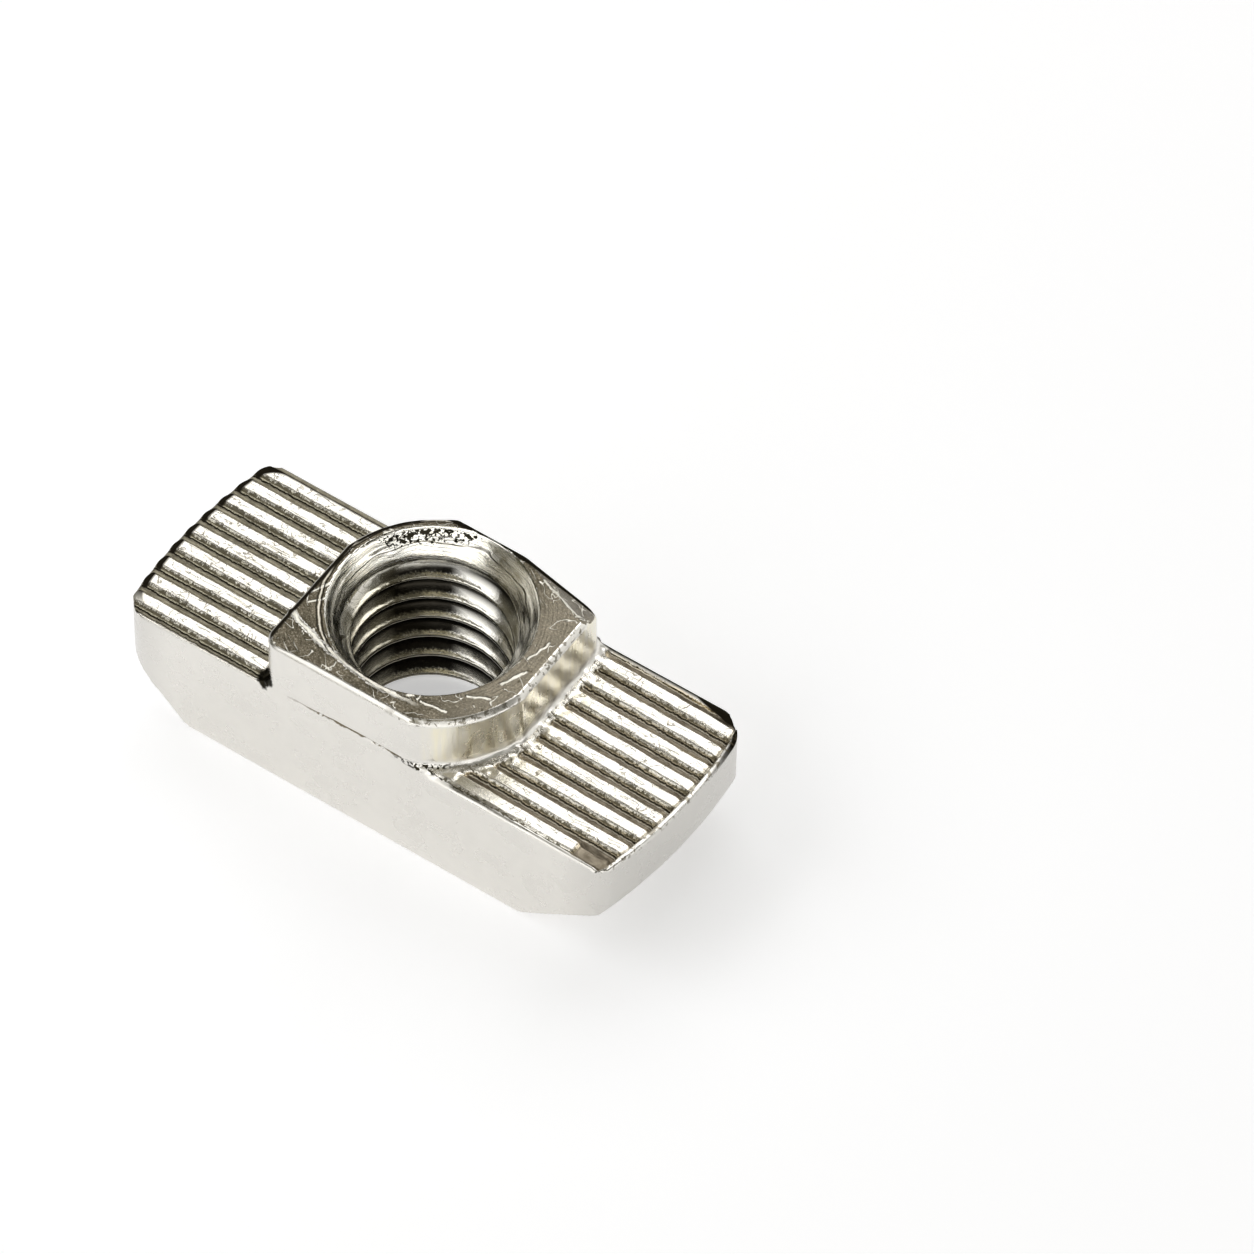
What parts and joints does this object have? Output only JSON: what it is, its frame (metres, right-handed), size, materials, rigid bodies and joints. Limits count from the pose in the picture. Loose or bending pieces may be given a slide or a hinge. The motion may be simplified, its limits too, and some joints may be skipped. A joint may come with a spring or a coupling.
{
  "type": "t-slot nut",
  "caption": "Hammer-head T-slot nut: ridged head with bowed ends and sloped underside, square neck with turned corners and a countersunk M6 threaded bore.",
  "frame": {"origin": "centre of the bounding box at the base, under the middle of the head", "axes": "+X along the head, +Y across it towards the side nearer the bore, +Z along the bore from the base to the neck"},
  "size_m": [0.0192, 0.0074, 0.0069],
  "materials": {
    "nickel_plate": "bright nickel plate on forged steel"
  },
  "bodies": {
    "root": {"t_slot_nut": "nickel_plate"}
  },
  "joints": []
}
